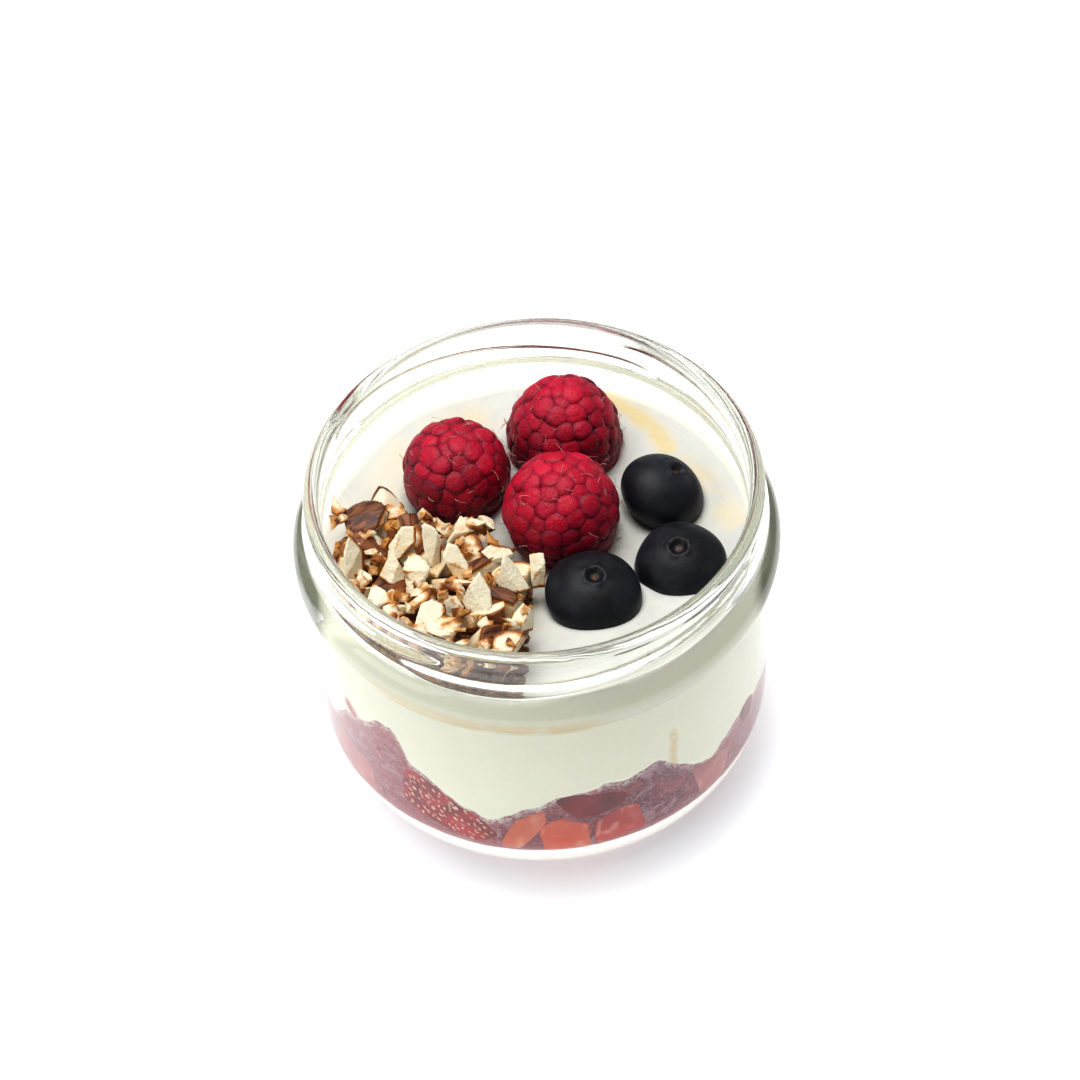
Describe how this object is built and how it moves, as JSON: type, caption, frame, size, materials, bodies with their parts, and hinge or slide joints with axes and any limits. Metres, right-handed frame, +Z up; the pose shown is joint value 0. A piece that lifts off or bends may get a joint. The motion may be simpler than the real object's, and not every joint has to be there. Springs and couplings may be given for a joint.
{
  "type": "jar of mascarpone fruit dessert",
  "caption": "Small glass jar of dessert: strawberry pieces in mash, mascarpone cream, and whole berries with chopped almonds on top.",
  "frame": {"origin": "middle of the foot ring, on the surface that the jar stands on", "axes": "+Z up through the mouth, -Y the front of the jar, +X to the right seen from the front"},
  "size_m": [0.0824, 0.0824, 0.061],
  "materials": {
    "jar_glass": "clear soda-lime glass with a faint green tint in its thick edges",
    "strawberry_skin": "wet dark red skin with pale yellow seeds in small pits",
    "strawberry_flesh": "cut flesh, orange-red and wet, with pale hair-like lines",
    "strawberry_mash": "dusty mauve mash of strawberry with paler streaks where it meets the cream",
    "mascarpone_cream": "thick ivory cream, smooth and softly glossy, with spooned swells",
    "raspberry": "crimson drupelets with a soft gloss and fine pale hairs",
    "blueberry": "blue-black skin with a thin grey bloom",
    "chopped_almonds": "chopped toasted almonds: ivory cut faces, toasted edges and brown skins"
  },
  "bodies": {
    "root": {"glass_jar": "jar_glass", "strawberry_slice_left": "strawberry_skin", "strawberry_chunk_1": "strawberry_flesh", "strawberry_chunk_2": "strawberry_flesh", "strawberry_chunk_3": "strawberry_flesh", "strawberry_slice_front": "strawberry_skin", "strawberry_chunk_4": "strawberry_flesh", "strawberry_slice_right": "strawberry_skin", "strawberry_chunk_5": "strawberry_flesh", "strawberry_slice_back_right": "strawberry_skin", "strawberry_chunk_6": "strawberry_flesh", "strawberry_slice_back": "strawberry_skin", "strawberry_chunk_7": "strawberry_flesh", "strawberry_chunk_8": "strawberry_flesh", "strawberry_slice_back_left": "strawberry_skin", "strawberry_chunk_9": "strawberry_flesh", "strawberry_mash": "strawberry_mash", "mascarpone_cream": "mascarpone_cream", "raspberry_front": "raspberry", "raspberry_left": "raspberry", "raspberry_back": "raspberry", "blueberry_front": "blueberry", "blueberry_right": "blueberry", "blueberry_upper": "blueberry", "chopped_almonds": "chopped_almonds"}
  },
  "joints": []
}
